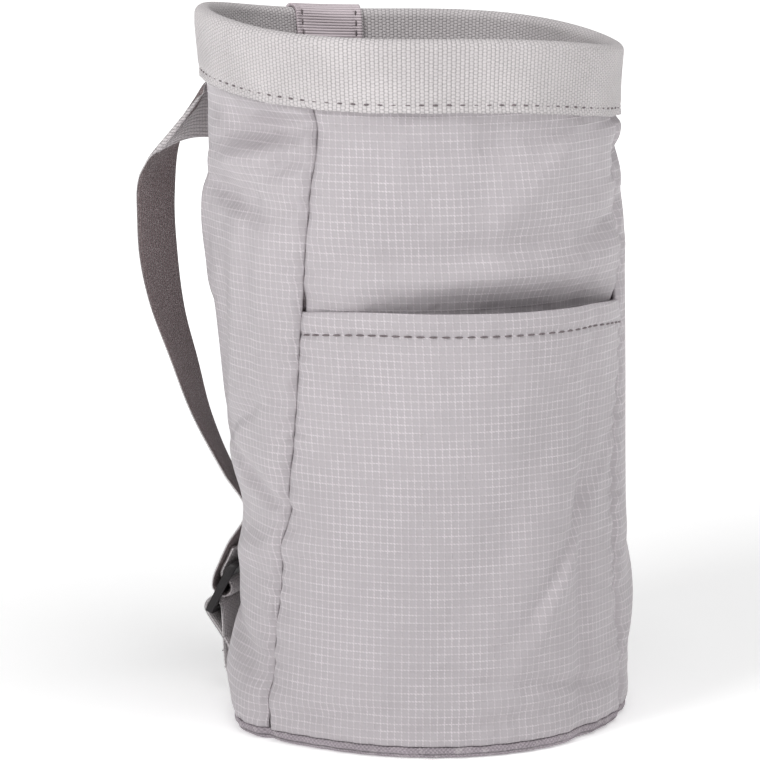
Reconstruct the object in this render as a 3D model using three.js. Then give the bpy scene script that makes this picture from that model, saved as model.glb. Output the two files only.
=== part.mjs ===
// Climbing chalk bag: a soft cloth bucket with a webbing rim, a front pocket and a side strap.
// Millimetres, +Z up, origin at the middle of the base, the pocket faces -Y.
// Angles are degrees around the bag from -Y toward +X.
import * as THREE from 'three';

// Driving sizes
const bagHeight = 180; // from the floor to the top of the rim, on the axis
const bagDiameter = 105; // outside of the cloth wall
const clothThickness = 1.1;
const webbingThickness = 1.3;
const clearance = 0.3; // kept between neighbouring layers
const bandHeight = 18; // rim webbing, folded lengthwise over the cloth edge
const rimTilt = 3.7; // how far the rim leans down on one side
const rimRipple = 1.2; // soft waves of the rim
const baseRimHeight = 3; // the base cloth turns up to the bottom seam
const baseCornerRadius = 2.4;
const pocketHeight = 112.3; // from the floor to the pocket's mouth
const pocketBulge = 2.6; // how far the mouth's lip stands out
const frontDip = 4.2; // how far the front panel falls in behind the mouth
const seamDepth = 0.8; // how far the cloth is drawn in at a side seam
const tapeWidth = 20;
const tapeThickness = 0.8;
const strapWidth = 15;
const buckleRail = 2.4; // side rails of the ladder lock
const buckleBar = 2.0; // thickness and depth of its cross bars
const buckleSideClearance = 0.5; // between the strap's edge and a rail
const buckleLipLength = 3.2;
const buckleLipRise = 1.6;
const tabSewnLength = 9; // the tab lies flat on the cloth over this height

// Directions and places
const leanAngle = -107.5; // the bag leans this way
const tapeAngle = -171;
const strapRootAngle = -177;
const buckleAngle = -127.5;
const buckleReach = 1.105; // share of the bag's radius, to the tab bar
const buckleLevel = 0.13; // share of the bag's height, to the tab bar
const buckleLean = 25; // degrees that its top leans to the cloth

const bagRadius = bagDiameter / 2;
const rimThickness = clothThickness + 2 * (webbingThickness + clearance);

// Wall sections: height as a share of the bag's height, radius and lean as shares of its radius
const sections = [
  { height: 0.0, radius: 1.003, lean: 0.0 },
  { height: 0.1, radius: 0.998, lean: 0.0 },
  { height: 0.24, radius: 0.991, lean: 0.0 },
  { height: 0.38, radius: 0.989, lean: 0.007 },
  { height: 0.52, radius: 1.003, lean: 0.027 },
  { height: 0.66, radius: 1.018, lean: 0.052 },
  { height: 0.78, radius: 1.016, lean: 0.068 },
  { height: 0.89, radius: 0.993, lean: 0.086 },
  { height: 1.0, radius: 1.02, lean: 0.09 },
];

// Side seams: height as a share of the bag's height, angles of the left and right seam
const seams = [
  { height: 0.0, left: -67.5, right: 60 },
  { height: 0.15, left: -68.3, right: 57.5 },
  { height: 0.24, left: -65.5, right: 56.5 },
  { height: 0.34, left: -62.3, right: 55.5 },
  { height: 0.42, left: -58.7, right: 56.5 },
  { height: 0.5, left: -55.8, right: 58.5 },
  { height: 0.61, left: -52.3, right: 60 },
  { height: 0.74, left: -48.6, right: 61 },
  { height: 0.85, left: -45.4, right: 61 },
  { height: 1.0, left: -46.8, right: 62 },
];

// Dents and ridges: place as an angle and a share of the bag's height, then the dent's half
// length, half width and depth as shares of the bag's radius. A negative depth is a ridge.
// Slant is the long direction's angle above the horizontal.
const dents = [
  { name: 'waist on the strap side', angle: -100, height: 0.31, length: 0.42, width: 0.13, slant: 0, depth: 0.056 },
  { name: 'hollow under the waist', angle: -108, height: 0.2, length: 0.55, width: 0.22, slant: 0, depth: 0.045 },
  { name: 'pressed in by the buckle', angle: -129, height: 0.21, length: 0.24, width: 0.2, slant: 0, depth: 0.07 },
  { name: 'bulge of the base corner', angle: -77, height: 0.0, length: 0.22, width: 0.14, slant: 0, depth: -0.1 },
  { name: 'dent under the rim', angle: -66, height: 0.872, length: 0.26, width: 0.07, slant: -8, depth: 0.028 },
  { name: 'ridge below that dent', angle: -72, height: 0.825, length: 0.24, width: 0.06, slant: -16, depth: -0.014 },
  { name: 'second crease', angle: -76, height: 0.775, length: 0.28, width: 0.055, slant: -10, depth: 0.02 },
  { name: 'soft upright ridge', angle: -66, height: 0.45, length: 0.42, width: 0.07, slant: 90, depth: -0.014 },
  { name: 'fold from the pocket corner', angle: -40, height: 0.685, length: 0.26, width: 0.07, slant: 43, depth: 0.022 },
  { name: 'bulge under the rim', angle: 70, height: 0.865, length: 0.3, width: 0.09, slant: 0, depth: -0.034 },
  { name: 'notch under the rim', angle: 71, height: 0.825, length: 0.16, width: 0.05, slant: 20, depth: 0.022 },
  { name: 'valley from the notch', angle: 36, height: 0.77, length: 0.34, width: 0.1, slant: 24, depth: 0.02 },
  { name: 'flattened side of the pocket', angle: 42, height: 0.26, length: 0.8, width: 0.2, slant: 90, depth: 0.046 },
  { name: 'pull at the right seam', angle: 36, height: 0.36, length: 0.24, width: 0.055, slant: 48, depth: 0.018 },
  { name: 'soft hollow of the back', angle: 150, height: 0.45, length: 0.5, width: 0.3, slant: 70, depth: 0.02 },
];

// Strap route from the back of the rim down to the ladder lock. Centre as an angle, a reach
// (share of the bag's radius) and a height (share of the bag's height), then the direction of
// the width as a turn around +Z and a rise, and its span as a share of the strap's width.
const strapRoute = [
  { name: 'clear of the cloth', angle: -156.5, reach: 1.075, height: 0.846, turn: 105, rise: 88, span: 1.0 },
  { name: 'swings out', angle: -142.4, reach: 1.12, height: 0.851, turn: 106, rise: 75, span: 1.02 },
  { name: 'before the fold', angle: -132.1, reach: 1.189, height: 0.862, turn: 110, rise: 67, span: 1.03 },
  { name: 'into the fold', angle: -125.8, reach: 1.242, height: 0.862, turn: 104, rise: 62, span: 1.15 },
  { name: 'fold', angle: -122.2, reach: 1.291, height: 0.845, turn: 92, rise: 49, span: 1.32 },
  { name: 'out of the fold', angle: -123.3, reach: 1.361, height: 0.817, turn: 110, rise: 40, span: 1.27 },
  { name: 'hangs', angle: -123.4, reach: 1.408, height: 0.787, turn: 121, rise: 30, span: 1.15 },
  { name: 'widest bow', angle: -122.9, reach: 1.42, height: 0.728, turn: 125, rise: 11, span: 1.0 },
  { name: 'upper bow', angle: -122.1, reach: 1.402, height: 0.654, turn: 126, rise: 0, span: 1.0 },
  { name: 'middle bow', angle: -123.0, reach: 1.365, height: 0.576, turn: 130, rise: -9, span: 1.0 },
  { name: 'lower bow', angle: -125.0, reach: 1.298, height: 0.498, turn: 137, rise: -10.6, span: 1.0 },
  { name: 'comes in', angle: -127.1, reach: 1.221, height: 0.413, turn: 146, rise: -10, span: 1.0 },
  { name: 'near the wall', angle: -131.5, reach: 1.105, height: 0.322, turn: 153, rise: -10, span: 1.0 },
  { name: 'beside the waist', angle: -134, reach: 0.992, height: 0.268, turn: 149, rise: -5, span: 1.0 },
];

const radians = THREE.MathUtils.degToRad;

// A table's column at a share, eased smoothly between its rows.
function readColumn(table, key, column, share) {
  const last = table.length - 1;
  const held = THREE.MathUtils.clamp(share, table[0][key], table[last][key]);
  let row = 0;
  while (row < last - 1 && held > table[row + 1][key]) row += 1;
  const slopeAt = (index) => {
    const before = table[Math.max(index - 1, 0)];
    const after = table[Math.min(index + 1, last)];
    return (after[column] - before[column]) / (after[key] - before[key]);
  };
  const low = table[row];
  const high = table[row + 1];
  const step = high[key] - low[key];
  const t = (held - low[key]) / step;
  const startPull = slopeAt(row) * step;
  const endPull = slopeAt(row + 1) * step;
  const hermite = (2 * t ** 3 - 3 * t ** 2 + 1) * low[column] + (3 * t ** 2 - 2 * t ** 3) * high[column];
  return hermite + (t ** 3 - 2 * t ** 2 + t) * startPull + (t ** 3 - t ** 2) * endPull;
}

// Signed difference of two angles, from -180 to 180.
function angleBetween(angle, other) {
  return THREE.MathUtils.euclideanModulo(angle - other + 180, 360) - 180;
}

function seamAngle(side, z) {
  return readColumn(seams, 'height', side, z / bagHeight);
}

// How deep one dent is at an angle and height.
function dentDepth(dent, angle, z) {
  const along = radians(angleBetween(angle, dent.angle)) * bagRadius;
  const up = z - dent.height * bagHeight;
  const slant = radians(dent.slant);
  const lengthwise = (along * Math.cos(slant) + up * Math.sin(slant)) / (dent.length * bagRadius);
  const across = (up * Math.cos(slant) - along * Math.sin(slant)) / (dent.width * bagRadius);
  return dent.depth * bagRadius * Math.exp(-(lengthwise ** 2 + across ** 2) / 2);
}

// The cloth is drawn in along both side seams.
function seamDip(angle, z) {
  const dipHalfWidth = 1.5 * clothThickness;
  let dip = 0;
  for (const side of ['left', 'right']) {
    const distance = radians(angleBetween(angle, seamAngle(side, z))) * bagRadius;
    dip += seamDepth * Math.exp(-((distance / dipHalfWidth) ** 2));
  }
  return dip;
}

// Height of the band's lower edge, less a clearance.
function bandBottom(angle) {
  return rimTop(angle) - bandHeight - clearance;
}

// Dents and seams run out just below the rim band, which holds the cloth round.
function freeCloth(angle, z) {
  const edge = bandBottom(angle);
  return 1 - THREE.MathUtils.smoothstep(z, edge - bandHeight / 4, edge);
}

// Radius of the wall's outer face about its leaning centre line.
function wallRadius(angle, z) {
  let depth = seamDip(angle, z);
  for (const dent of dents) depth += dentDepth(dent, angle, z);
  const round = bagRadius * readColumn(sections, 'height', 'radius', z / bagHeight);
  return round - depth * freeCloth(angle, z);
}

// A point at an offset outward from the wall's outer face.
function wallPoint(angle, z, offset = 0) {
  const lean = bagRadius * readColumn(sections, 'height', 'lean', z / bagHeight);
  const reach = wallRadius(angle, z) + offset;
  return new THREE.Vector3(
    lean * Math.sin(radians(leanAngle)) + reach * Math.sin(radians(angle)),
    -lean * Math.cos(radians(leanAngle)) - reach * Math.cos(radians(angle)),
    z,
  );
}

// Top of the rim band, which is tilted and slightly wavy.
function rimTop(angle) {
  const turn = radians(angle - leanAngle - 90);
  return bagHeight - rimTilt * Math.sin(turn) + rimRipple * Math.sin(3 * turn);
}

// Cloth edges end inside the band's fold, half the band's thickness below its top.
function clothTop(angle) {
  return rimTop(angle) - rimThickness / 2;
}

// How open the pocket's mouth is at an angle: closed at both seams and near the left contact.
function mouthOpening(angle) {
  const left = -34;
  const right = seamAngle('right', pocketHeight);
  const share = THREE.MathUtils.clamp((angle - left) / (right - left), 0, 1);
  return Math.sin(Math.PI * share) ** 0.8;
}

// The mouth's edge falls a little toward both seams.
function mouthHeight(angle) {
  const middle = (seamAngle('left', pocketHeight) + seamAngle('right', pocketHeight)) / 2;
  const half = (seamAngle('right', pocketHeight) - seamAngle('left', pocketHeight)) / 2;
  const share = (angle - middle) / half;
  return pocketHeight * (1 - 0.016 * share ** 4 - 0.006 * share);
}

// Fades from 1 at the mouth to 0 below and above it.
function mouthFade(angle, z) {
  const distance = z - mouthHeight(angle);
  const reach = distance < 0 ? 0.16 * pocketHeight : 0.09 * pocketHeight;
  return Math.exp(-((distance / reach) ** 2));
}

function pocketOffset(angle, z) {
  return pocketBulge * mouthOpening(angle) * mouthFade(angle, z);
}

// The front panel lies behind the pocket below the mouth and comes out to the wall above it.
function frontOffset(angle, z) {
  const layer = clothThickness + clearance;
  const above = (z - mouthHeight(angle) - clearance) / (0.07 * pocketHeight);
  const behind = 1 - THREE.MathUtils.smoothstep(above, 0, 1);
  return -layer * behind - frontDip * mouthOpening(angle) * mouthFade(angle, z);
}

// Closed solid between two grids of points, outer and inner, that share their edges' layout.
function sheetSolid(columns, rows, pointAt) {
  const positions = [];
  const index = [];
  const stride = rows + 1;
  const sheetSize = (columns + 1) * stride;
  for (const layer of [0, 1]) {
    for (let column = 0; column <= columns; column += 1) {
      for (let row = 0; row <= rows; row += 1) {
        const point = pointAt(column, row, layer);
        positions.push(point.x, point.y, point.z);
      }
    }
  }
  const quad = (a, b, c, d) => index.push(a, b, c, a, c, d);
  const at = (column, row, layer) => layer * sheetSize + column * stride + row;
  for (let column = 0; column < columns; column += 1) {
    for (let row = 0; row < rows; row += 1) {
      quad(at(column, row, 0), at(column + 1, row, 0), at(column + 1, row + 1, 0), at(column, row + 1, 0));
      quad(at(column, row, 1), at(column, row + 1, 1), at(column + 1, row + 1, 1), at(column + 1, row, 1));
    }
  }
  for (let column = 0; column < columns; column += 1) {
    quad(at(column, 0, 1), at(column + 1, 0, 1), at(column + 1, 0, 0), at(column, 0, 0));
    quad(at(column, rows, 0), at(column + 1, rows, 0), at(column + 1, rows, 1), at(column, rows, 1));
  }
  for (let row = 0; row < rows; row += 1) {
    quad(at(0, row, 0), at(0, row + 1, 0), at(0, row + 1, 1), at(0, row, 1));
    quad(at(columns, row, 1), at(columns, row + 1, 1), at(columns, row + 1, 0), at(columns, row, 0));
  }
  return solidGeometry(positions, index);
}

// Closed solid of one flat profile carried through stations; a run that isn't a loop is capped.
function sweptSolid(stations, profile, closed, pointAt) {
  const positions = [];
  const index = [];
  const profileSize = profile.length;
  for (let station = 0; station < stations; station += 1) {
    for (let corner = 0; corner < profileSize; corner += 1) {
      const point = pointAt(station, corner);
      positions.push(point.x, point.y, point.z);
    }
  }
  const spans = closed ? stations : stations - 1;
  for (let station = 0; station < spans; station += 1) {
    const next = (station + 1) % stations;
    for (let corner = 0; corner < profileSize; corner += 1) {
      const beside = (corner + 1) % profileSize;
      const a = station * profileSize + corner;
      const b = next * profileSize + corner;
      const c = next * profileSize + beside;
      const d = station * profileSize + beside;
      index.push(a, b, c, a, c, d);
    }
  }
  if (!closed) {
    const start = (stations - 1) * profileSize;
    const facing = Math.sign(THREE.ShapeUtils.area(profile));
    for (const corners of THREE.ShapeUtils.triangulateShape(profile, [])) {
      const turned = Math.sign(THREE.ShapeUtils.area(corners.map((corner) => profile[corner])));
      const [first, second, third] = turned === facing ? corners : corners.reverse();
      index.push(first, second, third);
      index.push(start + first, start + third, start + second);
    }
  }
  return solidGeometry(positions, index);
}

function solidGeometry(positions, index) {
  const geometry = new THREE.BufferGeometry();
  geometry.setAttribute('position', new THREE.Float32BufferAttribute(positions, 3));
  geometry.setIndex(index);
  geometry.computeVertexNormals();
  return geometry;
}

// The outermost column at each seam is narrow, so that the drawn-in edge shows.
function columnShare(column, columns, edge) {
  if (column === 0 || column === columns) return column / columns;
  return edge + ((column - 1) / (columns - 2)) * (1 - 2 * edge);
}

// Height of a row on a panel whose zones, from the base seam up, each have rows and a top.
function rowHeight(zones, row, angle) {
  let below = baseRimHeight + clearance;
  let left = row;
  for (const { rows, top } of zones) {
    if (left <= rows) return below + (left / rows) * (top(angle) - below);
    left -= rows;
    below = top(angle);
  }
  return below;
}

// A wall panel between two angles that follow the seams, from the base seam up its zones.
function panelGeometry(columns, zones, startAngle, endAngle, offset) {
  const halfSeam = THREE.MathUtils.radToDeg(clearance / bagRadius);
  const narrow = THREE.MathUtils.radToDeg((2 * clothThickness) / bagRadius);
  const rows = zones.reduce((sum, zone) => sum + zone.rows, 0);
  return sheetSolid(columns, rows, (column, row, layer) => {
    let angle = (startAngle(bagHeight / 2) + endAngle(bagHeight / 2)) / 2;
    let z = 0;
    for (let pass = 0; pass < 4; pass += 1) {
      z = rowHeight(zones, row, angle);
      const start = startAngle(z) + halfSeam;
      const end = endAngle(z) - halfSeam;
      angle = start + columnShare(column, columns, narrow / (end - start)) * (end - start);
    }
    return wallPoint(angle, z, offset(angle, z) - layer * clothThickness);
  });
}

function backPanelGeometry() {
  const start = (z) => seamAngle('right', z);
  const end = (z) => seamAngle('left', z) + 360;
  const zones = [{ rows: 21, top: bandBottom }, bandZone];
  return panelGeometry(36, zones, start, end, () => 0);
}

const frontStart = (z) => seamAngle('left', z);
const frontEnd = (z) => seamAngle('right', z);
const frontColumns = 20;
const pocketZone = { rows: 16, top: mouthHeight };
const bandZone = { rows: 3, top: clothTop };

function frontPanelGeometry() {
  const zones = [pocketZone, { rows: 8, top: bandBottom }, bandZone];
  return panelGeometry(frontColumns, zones, frontStart, frontEnd, frontOffset);
}

function pocketGeometry() {
  return panelGeometry(frontColumns, [pocketZone], frontStart, frontEnd, pocketOffset);
}

// The base: a flat disc whose edge turns up to the bottom seam.
function basePanelGeometry() {
  const segments = 60;
  const cornerSteps = 2;
  const profile = [{ share: 0.5, inward: 0, z: 0 }];
  for (let step = 0; step <= cornerSteps; step += 1) {
    const turn = (Math.PI / 2) * (step / cornerSteps);
    const inward = baseCornerRadius * (1 - Math.sin(turn));
    profile.push({ share: 1, inward, z: baseCornerRadius * (1 - Math.cos(turn)) });
  }
  profile.push({ share: 1, inward: 0, z: baseRimHeight });
  profile.push({ share: 1, inward: clothThickness, z: baseRimHeight });
  profile.push({ share: 1, inward: clothThickness, z: baseCornerRadius });
  profile.push({ share: 1, inward: baseCornerRadius, z: clothThickness });
  profile.push({ share: 0.5, inward: 0, z: clothThickness });
  const positions = [0, 0, 0, 0, 0, clothThickness];
  const index = [];
  const at = (segment, ring) => 2 + (segment % segments) * profile.length + ring;
  const last = profile.length - 1;
  for (let segment = 0; segment < segments; segment += 1) {
    const angle = (360 * segment) / segments;
    for (const ring of profile) {
      const rim = wallPoint(angle, 0, -ring.inward);
      positions.push(rim.x * ring.share, rim.y * ring.share, ring.z);
    }
    index.push(0, at(segment + 1, 0), at(segment, 0));
    index.push(1, at(segment, last), at(segment + 1, last));
    for (let ring = 0; ring < last; ring += 1) {
      index.push(at(segment, ring), at(segment + 1, ring), at(segment + 1, ring + 1));
      index.push(at(segment, ring), at(segment + 1, ring + 1), at(segment, ring + 1));
    }
  }
  return solidGeometry(positions, index);
}

// U-shaped profile that hugs a layer over its top edge: offsets outward from the wall's outer
// face as x and depths below the rim's top as y. Drop is the length of its legs.
function foldProfile(wrapInner, wrapOuter, thickness, topRise, drop, roundSteps) {
  const middle = (wrapInner + wrapOuter) / 2;
  const innerRadius = (wrapOuter - wrapInner) / 2 + clearance;
  const outerRadius = innerRadius + thickness;
  const centreDepth = outerRadius - topRise;
  const profile = [];
  const arcPoint = (radius, turn) =>
    new THREE.Vector2(middle + radius * Math.cos(turn), centreDepth - radius * Math.sin(turn));
  const legPoint = (reach, share) =>
    new THREE.Vector2(middle + reach, centreDepth + share * (drop - centreDepth));
  for (const share of [1, 0.5]) profile.push(legPoint(outerRadius, share));
  for (let step = 0; step <= roundSteps; step += 1) {
    profile.push(arcPoint(outerRadius, (Math.PI * step) / roundSteps));
  }
  for (const share of [0.5, 1]) profile.push(legPoint(-outerRadius, share));
  for (const share of [1, 0.5]) profile.push(legPoint(-innerRadius, share));
  for (let step = roundSteps; step >= 0; step -= 1) {
    profile.push(arcPoint(innerRadius, (Math.PI * step) / roundSteps));
  }
  for (const share of [0.5, 1]) profile.push(legPoint(innerRadius, share));
  return profile;
}

function rimBandGeometry() {
  const segments = 72;
  const profile = foldProfile(-clothThickness, 0, webbingThickness, 0, bandHeight, 4);
  return sweptSolid(segments, profile, true, (station, corner) => {
    const angle = (360 * station) / segments;
    const { x: offset, y: depth } = profile[corner];
    const z = rimTop(angle) - depth;
    return wallPoint(angle, z, offset);
  });
}

// The tape covers the joint of the rim webbing, inside and outside.
function jointTapeGeometry() {
  const stations = 6;
  const wrapOuter = clearance + webbingThickness;
  const wrapInner = -clothThickness - clearance - webbingThickness;
  const topRise = tapeThickness + clearance;
  const profile = foldProfile(wrapInner, wrapOuter, tapeThickness, topRise, bandHeight, 4);
  const halfAngle = THREE.MathUtils.radToDeg(tapeWidth / 2 / bagRadius);
  return sweptSolid(stations, profile, false, (station, corner) => {
    const angle = tapeAngle + halfAngle * ((2 * station) / (stations - 1) - 1);
    const { x: offset, y: depth } = profile[corner];
    const z = rimTop(angle) - depth;
    return wallPoint(angle, z, offset);
  });
}

// Flat webbing carried along a path of centres, with its width direction and half width at each.
function webbingGeometry(path, thickness) {
  const section = [
    new THREE.Vector2(1, -1),
    new THREE.Vector2(-1, -1),
    new THREE.Vector2(-1, 1),
    new THREE.Vector2(1, 1),
  ];
  return sweptSolid(path.length, section, false, (station, corner) => {
    const before = path[Math.max(station - 1, 0)].centre;
    const after = path[Math.min(station + 1, path.length - 1)].centre;
    const { centre, side, half } = path[station];
    const along = after.clone().sub(before).normalize();
    const face = along.clone().cross(side).normalize();
    const point = centre.clone().addScaledVector(side, section[corner].x * half);
    return point.addScaledVector(face, (section[corner].y * thickness) / 2);
  });
}

// The ladder lock's own frame: width along the wall, run upward, face outward.
function buckleFrame() {
  const angle = radians(buckleAngle);
  const outward = new THREE.Vector3(Math.sin(angle), -Math.cos(angle), 0);
  const width = new THREE.Vector3(-Math.cos(angle), -Math.sin(angle), 0);
  const lean = radians(buckleLean);
  const run = new THREE.Vector3(0, 0, Math.cos(lean)).addScaledVector(outward, -Math.sin(lean));
  const face = width.clone().cross(run).normalize();
  const origin = outward.clone().multiplyScalar(buckleReach * bagRadius);
  origin.z = buckleLevel * bagHeight;
  const place = (along, out, across = 0) =>
    origin.clone().addScaledVector(run, along).addScaledVector(face, out).addScaledVector(width, across);
  return { outward, width, run, face, origin, place };
}

// Places along the ladder lock's run, measured from the tab bar's middle. Webbing that goes
// around a bar clears the bar's corners.
const loopRadius = buckleBar / Math.SQRT2 + clearance + webbingThickness / 2;
const loopOuter = loopRadius + webbingThickness / 2;
const middleBar = 2 * loopOuter + 1.5 * clearance;
const lockBar = middleBar + loopOuter + 2 * clearance + buckleBar / 2;

function ladderLockGeometry() {
  const half = strapWidth / 2 + buckleSideClearance + buckleRail;
  const low = -buckleBar / 2;
  const high = lockBar + buckleBar / 2 + buckleLipLength;
  const corner = buckleRail / 2;
  const outline = new THREE.Shape();
  outline.moveTo(-half + corner, low);
  outline.lineTo(half - corner, low);
  outline.quadraticCurveTo(half, low, half, low + corner);
  outline.lineTo(half, high - 2 * corner);
  outline.quadraticCurveTo(half, high, half - 2 * corner, high);
  outline.lineTo(-half + 2 * corner, high);
  outline.quadraticCurveTo(-half, high, -half, high - 2 * corner);
  outline.lineTo(-half, low + corner);
  outline.quadraticCurveTo(-half, low, -half + corner, low);
  const inner = half - buckleRail;
  const slots = [
    { start: buckleBar / 2, end: middleBar - buckleBar / 2 },
    { start: middleBar + buckleBar / 2, end: lockBar - buckleBar / 2 },
  ];
  for (const { start, end } of slots) {
    const slot = new THREE.Path();
    slot.moveTo(-inner, start);
    slot.lineTo(-inner, end);
    slot.lineTo(inner, end);
    slot.lineTo(inner, start);
    slot.lineTo(-inner, start);
    outline.holes.push(slot);
  }
  const geometry = new THREE.ExtrudeGeometry(outline, {
    depth: buckleBar,
    bevelEnabled: false,
    curveSegments: 3,
  });
  geometry.translate(0, 0, -buckleBar / 2);
  const position = geometry.getAttribute('position');
  for (let vertex = 0; vertex < position.count; vertex += 1) {
    const beyond = Math.max(position.getY(vertex) - lockBar - buckleBar / 2, 0) / buckleLipLength;
    position.setZ(vertex, position.getZ(vertex) + buckleLipRise * beyond);
  }
  const { width, run, face, origin } = buckleFrame();
  const matrix = new THREE.Matrix4().makeBasis(width, run, face).setPosition(origin);
  return geometry.applyMatrix4(matrix);
}

// A row of the strap's route as a place, a width direction and a half width.
function routeRow({ angle, reach, height, turn, rise, span }) {
  const out = reach * bagRadius;
  const flat = Math.cos(radians(rise));
  return {
    centre: new THREE.Vector3(out * Math.sin(radians(angle)), -out * Math.cos(radians(angle)), height * bagHeight),
    side: new THREE.Vector3(
      flat * Math.sin(radians(turn)),
      -flat * Math.cos(radians(turn)),
      Math.sin(radians(rise)),
    ),
    half: (span * strapWidth) / 2,
  };
}

// The strap's way through the ladder lock: behind two bars, up, over the middle one and down
// again, so that its short end lies between the lock bar and the strap that it holds.
function threadedRows() {
  const { place, width } = buckleFrame();
  const half = strapWidth / 2;
  const endBehind = buckleBar / 2 + clearance + webbingThickness / 2;
  const loadBehind = endBehind + webbingThickness + clearance;
  const rows = [
    { along: lockBar + 2 * buckleLipLength, out: -loadBehind },
    { along: lockBar, out: -loadBehind },
    { along: middleBar + loopRadius, out: -loadBehind },
    { along: middleBar + 0.2 * loopRadius, out: -loadBehind + clearance },
    { along: middleBar - 0.68 * loopRadius, out: -loopRadius },
  ];
  for (const turn of [200, 170, 140, 110, 80, 50, 20, 0]) {
    const along = middleBar + loopRadius * Math.cos(radians(turn));
    rows.push({ along, out: loopRadius * Math.sin(radians(turn)) });
  }
  const corner = lockBar - buckleBar / 2;
  rows.push({ along: corner - 4 * clearance, out: -0.65 * endBehind });
  rows.push({ along: corner - clearance, out: -endBehind });
  rows.push({ along: lockBar + buckleLipLength, out: -endBehind });
  rows.push({ along: lockBar + 2 * buckleLipLength, out: -endBehind });
  return rows.map(({ along, out }) => ({ centre: place(along, out), side: width.clone(), half }));
}

// A row where the strap lies flat on the cloth.
function sewnRow(angle, level) {
  const half = strapWidth / 2;
  const onWall = clearance + webbingThickness / 2;
  const low = wallPoint(angle, level - half, onWall);
  const high = wallPoint(angle, level + half, onWall);
  return { centre: low.clone().lerp(high, 0.5), side: high.sub(low).normalize(), half };
}

// The strap: sewn flat on the back, swings out, folds over and hangs down to the ladder lock.
function strapGeometry() {
  const stepsPerRow = 4;
  const leave = strapRoute[0];
  const rows = [0, 0.35, 0.7].map((share) => {
    const angle = strapRootAngle + share * (leave.angle - strapRootAngle);
    return sewnRow(angle, leave.height * bagHeight);
  });
  const threaded = threadedRows();
  rows.push(...strapRoute.map(routeRow), threaded[0]);
  const curve = new THREE.CatmullRomCurve3(rows.map((row) => row.centre), false, 'centripetal');
  const path = [];
  const last = rows.length - 1;
  for (let step = 0; step < last * stepsPerRow; step += 1) {
    const low = rows[Math.floor(step / stepsPerRow)];
    const high = rows[Math.floor(step / stepsPerRow) + 1];
    const blend = (step % stepsPerRow) / stepsPerRow;
    path.push({
      centre: curve.getPoint(step / (last * stepsPerRow)),
      side: low.side.clone().lerp(high.side, blend).normalize(),
      half: THREE.MathUtils.lerp(low.half, high.half, blend),
    });
  }
  return webbingGeometry([...path, ...threaded], webbingThickness);
}

// The tab: sewn into the base seam, goes up the cloth, around the tab bar and back down.
function buckleTabGeometry() {
  const half = strapWidth / 2;
  const { place, width, run, face, origin } = buckleFrame();
  const onWall = clearance + webbingThickness / 2;
  const seamLevel = baseRimHeight + clearance;
  const layer = webbingThickness + clearance;
  const sewn = (height, offset) => wallPoint(buckleAngle, height, offset);
  const middleHeight = seamLevel + tabSewnLength;
  const pull = sewn(middleHeight, onWall + layer / 2).sub(origin);
  const pullTurn = Math.atan2(-pull.dot(face), -pull.dot(run));
  const points = [
    sewn(seamLevel, onWall),
    sewn(seamLevel + tabSewnLength / 2, onWall),
    sewn(middleHeight, onWall),
  ];
  const loopSteps = 8;
  for (let step = 0; step <= loopSteps; step += 1) {
    const turn = pullTurn + Math.PI * (step / loopSteps);
    points.push(place(loopRadius * Math.sin(turn), -loopRadius * Math.cos(turn)));
  }
  points.push(sewn(middleHeight, onWall + layer));
  points.push(sewn(seamLevel + tabSewnLength / 2, onWall + layer));
  points.push(sewn(seamLevel, onWall + layer));
  const path = points.map((centre) => ({ centre, side: width.clone(), half }));
  return webbingGeometry(path, webbingThickness);
}

// Colours and finish of each material
const clothLook = { color: 0xbfbabd, roughness: 0.62, metalness: 0 };
const webbingLook = { color: 0xc8c3c4, roughness: 0.85, metalness: 0 };
const baseLook = { color: 0x968e93, roughness: 0.8, metalness: 0 };
const tapeLook = { color: 0xb9aeb2, roughness: 0.8, metalness: 0 };
const plasticLook = { color: 0x262425, roughness: 0.45, metalness: 0 };

function piece(name, geometry, look) {
  const mesh = new THREE.Mesh(geometry, new THREE.MeshStandardMaterial({ name, ...look }));
  mesh.name = name;
  return mesh;
}

const chalkBag = new THREE.Group();
chalkBag.name = 'chalk_bag';
chalkBag.add(piece('base_panel', basePanelGeometry(), baseLook));
chalkBag.add(piece('back_panel', backPanelGeometry(), clothLook));
chalkBag.add(piece('front_panel', frontPanelGeometry(), clothLook));
chalkBag.add(piece('front_pocket', pocketGeometry(), clothLook));
chalkBag.add(piece('rim_band', rimBandGeometry(), webbingLook));
chalkBag.add(piece('joint_tape', jointTapeGeometry(), tapeLook));
chalkBag.add(piece('side_strap', strapGeometry(), webbingLook));
chalkBag.add(piece('ladder_lock', ladderLockGeometry(), plasticLook));
chalkBag.add(piece('buckle_tab', buckleTabGeometry(), webbingLook));

export default chalkBag;
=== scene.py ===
"""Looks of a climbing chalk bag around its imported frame: cloth, webbing, stitches, buckle and stage."""

import math
import random

import bmesh
import bpy
import numpy as np
from bpy.props import FloatProperty, FloatVectorProperty, IntProperty, PointerProperty
from mathutils import Matrix, Vector


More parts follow.
